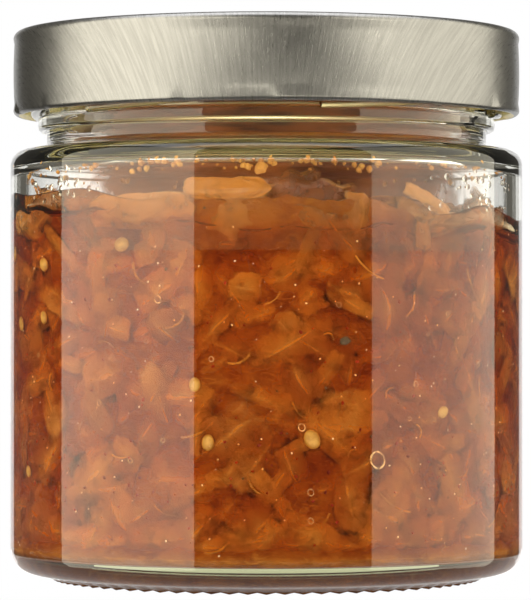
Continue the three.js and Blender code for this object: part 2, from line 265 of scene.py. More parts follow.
# The jar is pressed from flint glass in one piece: a thick base with a hollow
# under it, a straight wall, a rounded shoulder and a short neck with its bead.
# Heights are in millimetres above the foot, and radii from the jar's axis.
MM = 0.001
BODY = "root"
WELD = 1e-6
glass_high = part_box("jar_glass")[1]
BODY_RADIUS = glass_high.x / MM
RIM_HEIGHT = glass_high.z / MM
WALL = 2.5
CAVITY_RADIUS = BODY_RADIUS - WALL
WALL_HEIGHTS = (20, 36, 52)
PUNT_HEIGHT = 1.7
RING_INSIDE = 33.9
RING_OUTSIDE = 35.3
RING_ROUND = 0.5
HEEL_LIFT = 1.3
HEEL_ROUND = 3.6
FLOOR_HEIGHT = 4.6
FLOOR_ROUND = 1.7
FLOOR_CROWN = [(28, 4.75), (14, 4.85), (0, 4.9)]
CEILING_HEIGHT = 69.1
CEILING_ROUND = 2.3
SHOULDER_ROUND = 2.7
NECK_FOOT = 71.4
NECK_RADIUS = 36.7
NECK_FILLET = 0.8
BEAD_RADIUS = 37.4
BEAD_LOW = 75.1
BEAD_HIGH = 76.2
BEAD_ROUND = 0.7
FINISH_RADIUS = 37.6
MOUTH_RADIUS = 34.4
RIM_ROUND = 1.6
RIM_MIDDLE = MOUTH_RADIUS + RIM_ROUND
KNURL_TEETH = 76
STEPS_A_TOOTH = 4


def arc(radius, height, size, start, end, steps):
    points = []
    for i in range(steps + 1):
        angle = math.radians(start + (end - start) * i / steps)
        points.append((radius + size * math.cos(angle), height + size * math.sin(angle)))
    return points


# A profile of radius and height is drawn point by point and spun about the axis.
def turned(name, outline, steps, sweep=math.tau):
    piece = begun(bpy.ops.mesh.primitive_plane_add, size=MM)
    piece.name = name
    bpy.ops.object.mode_set(mode="EDIT")
    bpy.ops.mesh.merge(type="CENTER")
    radius, height = outline[0]
    bpy.ops.transform.translate(value=(0, -radius * MM, height * MM))
    for (radius, height), (next_radius, next_height) in zip(outline, outline[1:]):
        step = (0, (radius - next_radius) * MM, (next_height - height) * MM)
        bpy.ops.mesh.extrude_vertices_move(TRANSFORM_OT_translate={"value": step})
    bpy.ops.mesh.select_all(action="SELECT")
    bpy.ops.mesh.spin(steps=steps, angle=sweep, center=(0, 0, 0), axis=(0, 0, 1))
    bpy.ops.mesh.select_all(action="SELECT")
    bpy.ops.mesh.remove_doubles(threshold=WELD)
    bpy.ops.mesh.normals_make_consistent(inside=False)
    bpy.ops.object.mode_set(mode="OBJECT")
    return piece


def selected(pieces):
    bpy.ops.object.select_all(action="DESELECT")
    for piece in pieces:
        piece.select_set(True)
    bpy.context.view_layer.objects.active = pieces[0]
    return pieces[0]


def finish_piece(piece, material, slot, *nodes, angle=60):
    piece.data.materials.clear()
    piece.data.materials.append(material)
    selected([piece])
    bpy.ops.object.shade_smooth_by_angle(angle=math.radians(angle))
    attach(piece, BODY)
    if nodes:
        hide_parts(*nodes)


# Those vertices of a piece that pass the test are left selected, and no others.
def chosen(piece, test):
    selected([piece])
    bpy.ops.object.mode_set(mode="EDIT")
    bpy.ops.mesh.select_all(action="DESELECT")
    bpy.ops.object.mode_set(mode="OBJECT")
    for vertex in piece.data.vertices:
        vertex.select = test(vertex)
    bpy.ops.object.mode_set(mode="EDIT")


jar_outline = [
    (0, PUNT_HEIGHT), (20, 1.6), (30.5, 1.35), *arc(31.5, 0.35, 1, 90, 40, 3),
    *arc(RING_INSIDE, RING_ROUND, RING_ROUND, 215, 270, 3), (34.9, 0.0),
    *arc(RING_OUTSIDE, RING_ROUND, RING_ROUND, 270, 325, 3), (37.7, 1.2), (38.2, HEEL_LIFT),
    *arc(BODY_RADIUS - HEEL_ROUND, HEEL_LIFT + HEEL_ROUND, HEEL_ROUND, -90, 0, 12),
    *[(BODY_RADIUS, height) for height in WALL_HEIGHTS],
    *arc(BODY_RADIUS - SHOULDER_ROUND, NECK_FOOT - SHOULDER_ROUND, SHOULDER_ROUND, 0, 90, 10),
    (38.6, 71.75), *arc(NECK_RADIUS + NECK_FILLET, 72.8, NECK_FILLET, 270, 180, 6),
    (NECK_RADIUS, 74.1), *arc(BEAD_RADIUS, BEAD_LOW, BEAD_ROUND, 225, 360, 6),
    *arc(BEAD_RADIUS, BEAD_HIGH, BEAD_ROUND, 0, 80, 4),
    (FINISH_RADIUS, 77.4), (FINISH_RADIUS, 82),
    *arc(RIM_MIDDLE, RIM_HEIGHT - RIM_ROUND, RIM_ROUND, 0, 180, 12),
    (MOUTH_RADIUS, 80), *arc(RIM_MIDDLE, NECK_FOOT, RIM_ROUND, 180, 270, 8),
    *arc(CAVITY_RADIUS - CEILING_ROUND, CEILING_HEIGHT - CEILING_ROUND, CEILING_ROUND, 90, 0, 8),
    *[(CAVITY_RADIUS, height) for height in WALL_HEIGHTS[::-1]],
    *arc(CAVITY_RADIUS - FLOOR_ROUND, FLOOR_HEIGHT + FLOOR_ROUND, FLOOR_ROUND, 0, -90, 8),
    *FLOOR_CROWN,
]
jar = turned("jar_glass_body", jar_outline, KNURL_TEETH * STEPS_A_TOOTH)

# The ring it stands on is knurled: a groove is pressed up between each two teeth,
# deepest in its middle, and drawn in a little towards the axis.
KNURL_BAND = (33, 37.5)
KNURL_TOP = 0.9
GROOVE = 0.3
GROOVE_SHARES = (0, 0.5, 1, 0.5)
GROOVE_INWARD = 0.008


def in_groove(vertex, step):
    turn = math.atan2(vertex.co.x, -vertex.co.y) / math.tau * KNURL_TEETH * STEPS_A_TOOTH
    on_ring = KNURL_BAND[0] < vertex.co.xy.length / MM < KNURL_BAND[1]
    return on_ring and vertex.co.z < KNURL_TOP * MM and round(turn) % STEPS_A_TOOTH == step


for step in range(1, STEPS_A_TOOTH):
    share = GROOVE_SHARES[step]
    inward = 1 - GROOVE_INWARD * share
    chosen(jar, lambda vertex: in_groove(vertex, step))
    bpy.ops.transform.translate(value=(0, 0, GROOVE * share * MM))
    bpy.ops.transform.resize(value=(inward, inward, 1), center_override=(0, 0, 0))
    bpy.ops.object.mode_set(mode="OBJECT")

# Six ribs of thread are moulded on the neck under the lid, each rising to one side.
# One is shaped in front, and its copies stand round the neck and are fused to it.
THREADS = 6
THREAD_RADIUS = 39.5
THREAD_ROOT = 37.2
THREAD_BEVEL = 0.4
THREAD_LOW = 78.1
THREAD_HEIGHT = 2.0
THREAD_RISE = 3.2
THREAD_SWEEP = math.radians(46)
THREAD_AZIMUTH = 21.6
thread_outline = [
    (THREAD_ROOT, THREAD_LOW), (THREAD_RADIUS - THREAD_BEVEL, THREAD_LOW + 0.2),
    (THREAD_RADIUS, THREAD_LOW + 0.6), (THREAD_RADIUS, THREAD_LOW + 1.4),
    (THREAD_RADIUS - THREAD_BEVEL, THREAD_LOW + 1.8), (THREAD_ROOT, THREAD_LOW + THREAD_HEIGHT),
    (THREAD_ROOT, THREAD_LOW),
]
thread = turned("thread", thread_outline, 20, THREAD_SWEEP)
bpy.ops.object.mode_set(mode="EDIT")
bpy.ops.mesh.fill_holes(sides=0)
bpy.ops.mesh.normals_make_consistent(inside=False)
bpy.ops.transform.rotate(value=THREAD_SWEEP / 2, orient_axis="Z", center_override=(0, 0, 0))
middle = (0, -THREAD_RADIUS * MM, (THREAD_LOW + THREAD_HEIGHT / 2) * MM)
slope = math.atan(THREAD_RISE / (THREAD_RADIUS * THREAD_SWEEP))
bpy.ops.transform.rotate(value=slope, orient_axis="Y", center_override=middle)
bpy.ops.transform.translate(value=(0, 0, THREAD_RISE / 2 * MM))
bpy.ops.object.mode_set(mode="OBJECT")


def copied(piece, move):
    copy = piece.copy()
    copy.data = piece.data.copy()
    bpy.context.scene.collection.objects.link(copy)
    copy.data.transform(move)
    return copy


def joined(name, pieces):
    piece = selected(pieces)
    bpy.ops.object.join()
    piece.name = name
    return piece


def scrap(pieces):
    for piece in pieces:
        bpy.data.objects.remove(piece)


def applied(piece, kind, **settings):
    made = piece.modifiers.new(kind.lower(), kind)
    for key, setting in settings.items():
        setattr(made, key, setting)
    bpy.context.view_layer.objects.active = piece
    bpy.ops.object.modifier_apply(modifier=made.name)


threads = joined("threads", [
    copied(thread, Matrix.Rotation(math.radians(THREAD_AZIMUTH) + math.tau * i / THREADS, 4, "Z"))
    for i in range(THREADS)
])
applied(jar, "BOOLEAN", operation="UNION", object=threads, solver="EXACT")
scrap([thread, threads])

# Flint glass is clear, and faintly olive where it is thick. The inner face of the
# wall gives no mirror image of its own, as the wet pieces lie against it.
GLASS_IOR = 1.5
AIR_TINT = (0.97, 0.97, 0.95)
flint = Finish("flint_glass")
clear = {"Base Color": WHITE, "Roughness": 0.0, "IOR": GLASS_IOR, "Transmission Weight": 1.0}
outer = flint.principled(clear)
inner = flint.principled(clear | {"Specular Tint": (0, 0, 0)})
facing_in = flint.node("ShaderNodeNewGeometry", output="Backfacing")
wall_glass = flint.by_share(facing_in, outer, inner)
lets_light = flint.node("ShaderNodeBsdfTransparent", None, {"Color": AIR_TINT})
olive = flint.node("ShaderNodeVolumeAbsorption", None, {"Color": (0.5, 0.52, 0.09), "Density": 15.0})
glass_shader = flint.by_ray("Is Shadow Ray", wall_glass, lets_light)
finish_piece(jar, flint.surface(glass_shader, olive), "glass", "jar_glass")


# The lid is drawn from brushed tinplate: a recessed panel with a safety button,
# a raised bead round it, a slightly bulging skirt and a rolled edge. It is twisted
# on, and its six lugs catch under the thread.
lid_low, lid_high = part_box("lid")
LID_RADIUS = lid_high.x / MM
LID_TOP = lid_high.z / MM
LID_EDGE = lid_low.z / MM
SHEET = 0.5
CORNER = 1.2
CURL = 0.8
PANEL_DROP = 0.8
BUTTON_DROP = 0.45
SKIRT_BULGE = 0.22
SKIRT_MIDDLE = 84
SKIRT_HALF = 6
SKIRT_HEIGHTS = range(79, 90)
skirt = [
    (LID_RADIUS - SKIRT_BULGE * ((height - SKIRT_MIDDLE) / SKIRT_HALF) ** 2, height)
    for height in SKIRT_HEIGHTS
]
lid_outline = [
    (0, LID_TOP - BUTTON_DROP - SHEET), (13.5, LID_TOP - BUTTON_DROP - SHEET),
    (15, LID_TOP - PANEL_DROP - SHEET), (38, LID_TOP - PANEL_DROP - SHEET),
    (39.2, LID_TOP - SHEET),
    *arc(LID_RADIUS - CORNER, LID_TOP - CORNER, CORNER - SHEET, 90, 0, 6),
    (LID_RADIUS - SHEET, SKIRT_MIDDLE), (LID_RADIUS - SHEET, LID_EDGE + 2.2),
    *arc(LID_RADIUS - CURL, LID_EDGE + CURL, CURL, 130, 360, 14), *skirt,
    *arc(LID_RADIUS - CORNER, LID_TOP - CORNER, CORNER, 0, 90, 8),
    *arc(40, LID_TOP - PANEL_DROP, PANEL_DROP, 90, 130, 4),
    *arc(38.8, LID_TOP + 0.2, 1, 300, 270, 3),
    (26, LID_TOP - PANEL_DROP), (15.5, LID_TOP - PANEL_DROP), (14.8, LID_TOP - 0.7),
    (13.8, LID_TOP - 0.5), (13, LID_TOP - BUTTON_DROP), (0, LID_TOP - BUTTON_DROP),
]
lid = turned("lid_cap", lid_outline, 288)

# The rolled edge is pressed in at the six lugs, a little and softly.
LUGS = 6
LUG_AZIMUTH = -8.4
LUG_HALF_ANGLE = 10.5
LUG_PRESS = 0.45
LUG_REACH = 0.8
LUG_SOFTNESS = 1.2


def at_lug(vertex, turn):
    away = (math.atan2(vertex.co.x, -vertex.co.y) - turn + math.pi) % math.tau - math.pi
    near_edge = vertex.co.z < (LID_EDGE + LUG_REACH) * MM
    return near_edge and abs(math.degrees(away)) < LUG_HALF_ANGLE


for i in range(LUGS):
    turn = math.radians(LUG_AZIMUTH + 360 / LUGS * i)
    chosen(lid, lambda vertex: at_lug(vertex, turn))
    bpy.ops.transform.translate(
        value=(-math.sin(turn) * LUG_PRESS * MM, math.cos(turn) * LUG_PRESS * MM, 0),
        use_proportional_edit=True, proportional_edit_falloff="SMOOTH",
        proportional_size=LUG_SOFTNESS * MM,
    )
    bpy.ops.object.mode_set(mode="OBJECT")

# The sheet was brushed flat before it was drawn, so the scratches all run one way,
# over the corner and down the skirt.
BRUSH_TURN = math.radians(-10)
SCRATCH = (1, 0.045, 1)
steel = Finish("brushed_tinplate")
across, away, height = steel.axes(steel.place())
radius = (across * across + away * away) ** 0.5
unrolled = (radius + (LID_TOP * MM - height)) / radius
flat = steel.node("ShaderNodeCombineXYZ", None, {0: across * unrolled, 1: away * unrolled})
brushed = steel.stretched(flat, (0, 0, BRUSH_TURN), SCRATCH)
fine = steel.noise(brushed, scale=9000, detail=2, roughness=0.6)
broad = steel.noise(brushed, scale=2200, detail=3, roughness=0.6)
metal = steel.principled({
    "Base Color": steel.blend(
        steel.span(broad, 0.3, 0.7), (0.23, 0.228, 0.226), (0.29, 0.288, 0.286),
    ),
    "Metallic": 1.0,
    "Roughness": steel.span(fine, 0.2, 0.8, 0.25, 0.36),
    "Normal": steel.bump(fine * 0.6 + broad * 0.4, distance=0.00009, strength=0.5),
})
finish_piece(lid, steel.surface(metal), "lid_steel", "lid", angle=50)

# Inside, the lid is lacquered cream: under the panel and down the skirt.
INSIDE_REACH = LID_RADIUS - 1.7
PANEL_DEPTH = 3
lacquer = Finish("cream_lacquer")
mottle = lacquer.noise(lacquer.place(), scale=120, detail=3)
coat = lacquer.principled({
    "Base Color": lacquer.blend(mottle, (0.66, 0.58, 0.26), (0.8, 0.71, 0.38)), "Roughness": 0.35,
})
lid.data.materials.append(lacquer.surface(coat))
for face in lid.data.polygons:
    reach = face.center.xy.length
    inward = face.normal.xy.dot(face.center.xy) < -0.1 * reach
    in_skirt = inward and reach > INSIDE_REACH * MM
    under_panel = face.normal.z < -0.5 and face.center.z > (LID_TOP - PANEL_DEPTH) * MM
    if in_skirt or under_panel:
        face.material_index = 1

# The lid alone is lit by two high cards, which narrow the dark stripe in its middle,
# by a low one, which makes the skirt paler towards its edge, and by a weak lamp under
# it, for the light that bounces about there and shows through the shoulder.
lid_lamps = [
    softbox("lid_card_left", azimuth=-20, half_angle=11, distance=0.8, low=0.14, high=0.5, radiance=2.7),
    softbox("lid_card_right", azimuth=42, half_angle=7, distance=0.8, low=0.14, high=0.5, radiance=3.8),
    softbox("lid_card_low", azimuth=8, half_angle=30, distance=0.35, low=0, high=0.04, radiance=4.5),
]
bounce = bpy.data.lights.new("under_lid", "POINT")
bounce.energy = 0.023
bounce.shadow_soft_size = 0.004
under_lid = bpy.data.objects.new("under_lid", bounce)
bpy.context.scene.collection.objects.link(under_lid)
under_lid.location = (0, 0, 0.08)
under_lid.visible_camera = False
under_lid.visible_glossy = False
under_lid.visible_transmission = False
lid_only = bpy.data.collections.new("lid_only")
lid_only.objects.link(lid)
for lamp in (*lid_lamps, under_lid):
    lamp.light_linking.receiver_collection = lid_only


# The brine fills the glass round everything else, and reaches just into its wall,
# so that no air shows between them. It is thick with chilli, deep orange, and
# climbs the glass in an uneven edge, highest at the left.
WETTING = 0.08
BRINE_LEVEL = 55.5
CLIMB = 3.5
BRINE_HEIGHTS = (20, 36, 46, 50, 54)
MENISCUS = [(-WETTING, CLIMB), (0.1, CLIMB - 0.2), (0.3, CLIMB / 2), (0.7, 0.6), (1.5, -0.2)]
brine_outline = [
    *[(radius, height - WETTING) for radius, height in FLOOR_CROWN[::-1]],
    *arc(CAVITY_RADIUS - FLOOR_ROUND, FLOOR_HEIGHT + FLOOR_ROUND, FLOOR_ROUND + WETTING, -90, 0, 8),
    *[(CAVITY_RADIUS + WETTING, height) for height in BRINE_HEIGHTS],
    *[(CAVITY_RADIUS - inset, BRINE_LEVEL + rise) for inset, rise in MENISCUS],
    (34, BRINE_LEVEL - 0.3), *[(radius, BRINE_LEVEL) for radius in (28, 20, 10, 0)],
]
brine = turned("brine", brine_outline, 180)


# The top is pushed up or down softly round one place on the wall.
def raised(piece, azimuth, height, amount, reach, radius=CAVITY_RADIUS):
    turn = math.radians(azimuth)
    place = Vector((math.sin(turn) * radius, -math.cos(turn) * radius, height)) * MM
    nearest = min(piece.data.vertices, key=lambda vertex: (vertex.co - place).length).index
    chosen(piece, lambda vertex: vertex.index == nearest)
    bpy.ops.transform.translate(
        value=(0, 0, amount * MM), use_proportional_edit=True,
        proportional_edit_falloff="SMOOTH", proportional_size=reach * MM,
    )
    bpy.ops.object.mode_set(mode="OBJECT")


# Each high place has its azimuth, how much it is raised, and how far round it.
HIGH_PLACES = [
    (-78, 5, 22), (-46, 5, 20), (-17, 3.5, 13), (6, 3, 12), (26, 3.5, 12), (58, 2.5, 14),
    (140, 2, 30), (-150, 1.5, 26),
]
for azimuth, amount, reach in HIGH_PLACES:
    raised(brine, azimuth, BRINE_LEVEL + CLIMB, amount, reach)
RIPPLES = 34
ripple = random.Random(3)
for i in range(RIPPLES):
    azimuth = 360 * i / RIPPLES - 180
    raised(brine, azimuth, BRINE_LEVEL + CLIMB, ripple.uniform(-1.2, 1.5), ripple.uniform(3, 7))
liquor = Finish("chilli_brine")
wet = liquor.principled({
    "Base Color": WHITE, "Roughness": 0.0, "IOR": 1.34, "Transmission Weight": 1.0,
    "Specular Tint": (0, 0, 0),
})
lets_light = liquor.node("ShaderNodeBsdfTransparent", None, {"Color": WHITE})
chilli = liquor.node(
    "ShaderNodeVolumeAbsorption", None, {"Color": (0.84, 0.55, 0.0), "Density": 640.0},
)
brine_shader = liquor.by_ray("Is Shadow Ray", wet, lets_light)
finish_piece(brine, liquor.surface(brine_shader, chilli), "kimchi")


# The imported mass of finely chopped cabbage, radish and chilli paste. It is pressed
# into the jar by hand, keeps the form of the CAD's heap, stands flat on the floor of
# the glass, and its lumpy side is a little back from the wall.
CORE_DEPTH = 1.8
CORE_RADIUS = CAVITY_RADIUS - CORE_DEPTH
CORE_FOOT = [(0, 4.86), (14, 4.8), (28, 4.7)]
CORE_LOW = 7.0
HEAP_TOP = 57.0
WALL_ROWS = 70
TOP_ROWS = 36
core_outline = [
    *CORE_FOOT, *arc(
        CAVITY_RADIUS - FLOOR_ROUND, FLOOR_HEIGHT + FLOOR_ROUND, FLOOR_ROUND + WETTING / 2,
        -90, -20, 6,
    ),
    *[
        (CORE_RADIUS, CORE_LOW + (HEAP_TOP - CORE_LOW - 1) * (i + 1) / WALL_ROWS)
        for i in range(WALL_ROWS)
    ],
    *[(CORE_RADIUS * (1 - i / TOP_ROWS), HEAP_TOP) for i in range(TOP_ROWS + 1)],
]
core = turned("kimchi_mass", core_outline, 320)


def displaced(piece, size, amount, direction="NORMAL", depth=2, group=""):
    lumps = bpy.data.textures.new("lumps", "CLOUDS")
    lumps.noise_scale = size
    lumps.noise_depth = depth
    applied(
        piece, "DISPLACE", texture=lumps, texture_coords="LOCAL", strength=amount,
        mid_level=0.5, direction=direction, vertex_group=group,
    )


FLAT_TO = 5
LUMPY_FROM = 7
CORE_LUMPS = [(6, 2.4), (2, 1.2)]
above_foot = core.vertex_groups.new(name="above_foot")
for vertex in core.data.vertices:
    share = (vertex.co.z / MM - FLAT_TO) / (LUMPY_FROM - FLAT_TO)
    above_foot.add([vertex.index], min(max(share, 0), 1), "REPLACE")
for azimuth, amount, reach in HIGH_PLACES:
    raised(core, azimuth, HEAP_TOP, amount, reach, CORE_RADIUS)
raised(core, 0, HEAP_TOP, amount=3.5, reach=28, radius=30)
for size, amount in CORE_LUMPS:
    displaced(core, size * MM, amount * MM, group="above_foot")
mash = Finish("chopped_mass")
where = mash.place()
patches = mash.noise(where, scale=160, detail=4, roughness=0.6, distortion=0.4)
strand_way = mash.stretched(where, (0.4, 0.7, 0.3), (1, 1, 2.6))
strands = mash.noise(strand_way, scale=430, detail=4, roughness=0.65, distortion=1.2)
grains = mash.noise(where, scale=900, detail=2)
ground = mash.blend(mash.span(patches, 0.35, 0.65), (0.225, 0.056, 0.0045), (0.355, 0.115, 0.012))
body = mash.principled({
    "Base Color": mash.blend(mash.span(strands, 0.5, 0.68, 0, 0.85), ground, (0.4, 0.15, 0.022)),
    "Roughness": 0.5, "Specular IOR Level": 0.1,
    "Normal": mash.bump(grains + strands, distance=0.0005, strength=0.6),
})
finish_piece(core, mash.surface(body), "kimchi", "kimchi")


# Broad cuts of napa cabbage, pale and half clear, packed flat against the glass
# under the brine. Each is a thin rounded sheet, bulged towards the glass, so that
# its edges sink back into the brine.
CRINKLE = 3
RAGGEDNESS = [(0.9, 1, "X", 2), (0.7, 1, "Y", 2), (0.25, 0.4, "Y", 1)]


# The kind sets where the cut reads the lumps, so that no two kinds are alike.
def cut(
    length, width, bulge, roundness, relief, thickness=0.3, columns=14, rows=8, ragged=0.5,
    kind=1,
):
    piece = begun(
        bpy.ops.mesh.primitive_grid_add, x_subdivisions=columns, y_subdivisions=rows, size=2,
    )
    applied(piece, "CAST", factor=roundness, cast_type="SPHERE", use_z=False, size=1, radius=1)
    dome = bpy.data.textures.new("dome", "BLEND")
    dome.progression = "SPHERICAL"
    applied(
        piece, "DISPLACE", texture=dome, texture_coords="LOCAL", strength=bulge * MM,
        mid_level=1, direction="Z",
    )
    piece.data.transform(Matrix.Translation((0, 0, kind)))
    for size, share, direction, depth in RAGGEDNESS:
        displaced(piece, size, ragged * share, direction, depth)
    piece.data.transform(Matrix.Diagonal((length * MM / 2, width * MM / 2, 1, 1)))
    displaced(piece, CRINKLE * MM, relief * MM, "Z")
    piece.data.transform(Matrix.Translation((0, 0, -kind)))
    applied(piece, "SOLIDIFY", thickness=thickness * MM, offset=-1)
    return piece


LEAST_HEIGHT = 5.3
WALL_LENGTH = math.tau * CAVITY_RADIUS


def toned(piece, tone):
    shade = piece.data.attributes.new("tone", "FLOAT", "POINT")
    shade.data.foreach_set("value", [tone] * len(piece.data.vertices))
    return piece


# A copy is stood on edge, tipped a little, turned in the plane of the wall, and
# put at its place along the wall, behind the glass and above the foot.
def laid(template, along, behind, above, roll=0.0, tilt=(0, 0), size=(1, 1, 1), tone=0.5):
    turn = Euler((math.pi / 2 + tilt[0], 0, tilt[1])).to_matrix() @ Euler((0, 0, roll)).to_matrix()
    place = Matrix.Translation(Vector((along, behind, above)) * MM)
    copy = copied(template, place @ turn.to_4x4() @ Matrix.Diagonal((*size, 1)))
    lowest = min(vertex.co.z for vertex in copy.data.vertices)
    copy.data.transform(Matrix.Translation((0, 0, max(LEAST_HEIGHT * MM - lowest, 0))))
    return toned(copy, tone)


# The copies are joined flat, bent round with the help of a guide that is longer than
# the wall is round by a quarter, and centred on the jar.
TURNS = 1.25


def wrapped(name, copies):
    piece = joined(name, copies)
    bpy.ops.object.mode_set(mode="EDIT")
    bpy.ops.mesh.select_all(action="DESELECT")
    bpy.ops.mesh.primitive_plane_add(size=TURNS * WALL_LENGTH * MM)
    bpy.ops.mesh.hide(unselected=False)
    bpy.ops.object.mode_set(mode="OBJECT")
    applied(piece, "SIMPLE_DEFORM", deform_method="BEND", deform_axis="Z", angle=TURNS * math.tau)
    bpy.ops.object.mode_set(mode="EDIT")
    bpy.ops.mesh.reveal(select=True)
    bpy.ops.mesh.delete(type="VERT")
    bpy.ops.mesh.select_all(action="SELECT")
    bpy.ops.transform.translate(value=(0, -CAVITY_RADIUS * MM, 0))
    bpy.ops.object.mode_set(mode="OBJECT")
    return piece


# The finish of cabbage: fine veins run along each cut, it is blotched with chilli,
# and near its edges it is thin enough to see through.
VEIN_WAY = (0.9, 6, 1)


def cabbage_finish(name, light, dark, vein, thin, full, edge, gloss=0.1):
    cabbage = Finish(name)
    sheet = cabbage.place("UV")
    veins = cabbage.noise(
        cabbage.stretched(sheet, (0, 0, 0), VEIN_WAY),
        scale=1, detail=3, roughness=0.55, distortion=0.35,
    )
    blotch = cabbage.noise(cabbage.place(), scale=350, detail=3, roughness=0.6)
    u, v = cabbage.axes(sheet)[:2]
    middle = u * (1 - u) * v * (1 - v) * 16
    raised_vein = cabbage.span(veins, 0.5, 0.75, 0, 0.8)
    body = cabbage.span(blotch, 0.3, 0.62, thin, full) + raised_vein * 0.25
    skin = cabbage.principled({
        "Base Color": cabbage.blend(raised_vein, cabbage.blend(cabbage.tone(), dark, light), vein),
        "Roughness": 0.3, "Specular IOR Level": gloss,
        "Alpha": body * cabbage.span(middle, 0, edge),
        "Normal": cabbage.bump(veins, distance=0.0002, strength=0.6),
    })
    return cabbage.surface(skin)


draw = random.Random(7)
GOLDEN = 0.618
JITTER = 0.06


# The cuts are spread evenly along the wall, and by the golden share up it.
def strewn(templates, count, behind, above, roll, tilt, size):
    low, high = above
    return [
        laid(
            draw.choice(templates), ((i + draw.random()) / count - 0.5) * WALL_LENGTH,
            draw.uniform(*behind),
            low + (high - low) * ((i * GOLDEN + JITTER * draw.random()) % 1),
            draw.gauss(0, roll), (draw.gauss(0, tilt), draw.gauss(0, tilt)),
            (draw.uniform(*size), draw.uniform(*size), 1), draw.random(),
        )
        for i in range(count)
    ]


# Each has its length, width, bulge, roundness and relief.
BROAD_CUTS = [
    (13, 8, 1.2, 0.45, 0.8), (10, 7, 1.0, 0.6, 0.6), (14, 6, 1.1, 0.35, 0.6),
    (9, 8, 1.2, 0.7, 0.9), (17, 9, 1.4, 0.5, 1.0), (11, 5, 1.0, 0.5, 0.7),
]
broad_cuts = [cut(*sizes, kind=kind) for kind, sizes in enumerate(BROAD_CUTS, 1)]
flat_cuts = strewn(broad_cuts, 440, (0.2, 1.4), (5, 57), roll=0.9, tilt=0.1, size=(0.7, 1.2))
flat_cuts += strewn(broad_cuts, 70, (0.35, 0.9), (6, 8.5), roll=0.3, tilt=0.05, size=(0.8, 1.1))
leaves = wrapped("cabbage_leaves", flat_cuts)
finish_piece(leaves, cabbage_finish(
    "soft_leaf", light=(0.48, 0.18, 0.028), dark=(0.28, 0.077, 0.007), vein=(0.6, 0.28, 0.06),
    thin=0.15, full=0.6, edge=0.5,
), "kimchi")


# Narrower cuts of the thick white ribs of the cabbage, crisper and paler than the
# leaf. They are pressed closest to the glass, and have firm ragged ends.
# Each has its length, width, bulge, roundness, relief, thickness, columns, rows and
# raggedness.
RIB_CUTS = [
    (9, 4.2, 0.7, 0.3, 0.3, 0.4, 12, 8, 0.45), (7, 3, 0.6, 0.4, 0.3, 0.4, 12, 6, 0.45),
    (6, 4.6, 0.7, 0.5, 0.4, 0.4, 12, 8, 0.5), (10, 3, 0.6, 0.3, 0.3, 0.4, 12, 6, 0.4),
]
rib_cuts = [cut(*sizes, kind) for kind, sizes in enumerate(RIB_CUTS, 7)]
ribs = wrapped("cabbage_ribs", strewn(
    rib_cuts, 120, (0.25, 0.9), (5, 56), roll=0.8, tilt=0.07, size=(0.7, 1.2),
))
finish_piece(ribs, cabbage_finish(
    "crisp_rib", light=(0.46, 0.175, 0.028), dark=(0.33, 0.1, 0.012), vein=(0.6, 0.3, 0.08),
    thin=0.2, full=0.5, edge=0.4,
), "kimchi")
scrap(rib_cuts)


# Fine shreds of radish and spring onion, cut by hand into thin pale threads, which
# curl as they salt, and lie all through the mass just behind the glass.
SHRED_CUTS = [
    (4.5, 0.32, 0.1, 0.2, 0.8, 0.25, 14, 2, 0.1), (3, 0.28, 0.1, 0.2, 0.8, 0.25, 12, 2, 0.1),
    (6, 0.35, 0.1, 0.2, 1.0, 0.25, 18, 2, 0.1),
]
SHRED_CURLS = (1.3, -1.7, 1.1)
shred_cuts = [cut(*sizes, kind) for kind, sizes in enumerate(SHRED_CUTS, 18)]
for shred, curl in zip(shred_cuts, SHRED_CURLS):
    applied(shred, "SIMPLE_DEFORM", deform_method="BEND", deform_axis="Z", angle=curl)
shreds = wrapped("shreds", strewn(
    shred_cuts, 90, (0.25, 0.9), (7, 55), roll=0.9, tilt=0.05, size=(0.7, 1.2),
))
finish_piece(shreds, cabbage_finish(
    "pale_shred", light=(0.55, 0.27, 0.06), dark=(0.44, 0.17, 0.025), vein=(0.58, 0.3, 0.07),
    thin=0.35, full=0.7, edge=0.1,
), "kimchi")
scrap(shred_cuts)


# The pieces on top, pushed up the glass above the brine: a yellow stalk lying on a
# broad curled leaf, a brown fold darkened as painted shade of its hollow, with an
# upright piece, a pale slab at the left and a folded leaf under a yellow piece at the right.
# Each cut has the same values as those of the ribs, and then its kind.
stalk = cut(14, 3.6, 1.3, 0.7, 0.6, 0.8, 34, 14, 0.35, 11)
fan = cut(13, 11, 2.6, 0.85, 2.4, 0.5, 34, 30, 0.4, 12)
fold = cut(17, 7.5, 2.4, 0.7, 2.6, 0.5, 40, 22, 0.5, 13)
upright = cut(7.5, 4.6, 1.4, 0.5, 1.0, 0.6, 24, 16, 0.4, 14)
slab = cut(20, 5.6, 1.3, 0.5, 1.4, 0.5, 44, 18, 0.4, 15)
band = cut(16, 3.2, 1.0, 0.4, 1.6, 0.5, 40, 12, 0.45, 16)
chunk = cut(4.6, 3.2, 0.7, 0.55, 0.6, 0.8, 20, 14, 0.4, 17)
top_cuts = [stalk, fan, fold, upright, slab, band, chunk]
for leaf in top_cuts:
    displaced(leaf, 1.4 * MM, 0.6 * MM, "Z")
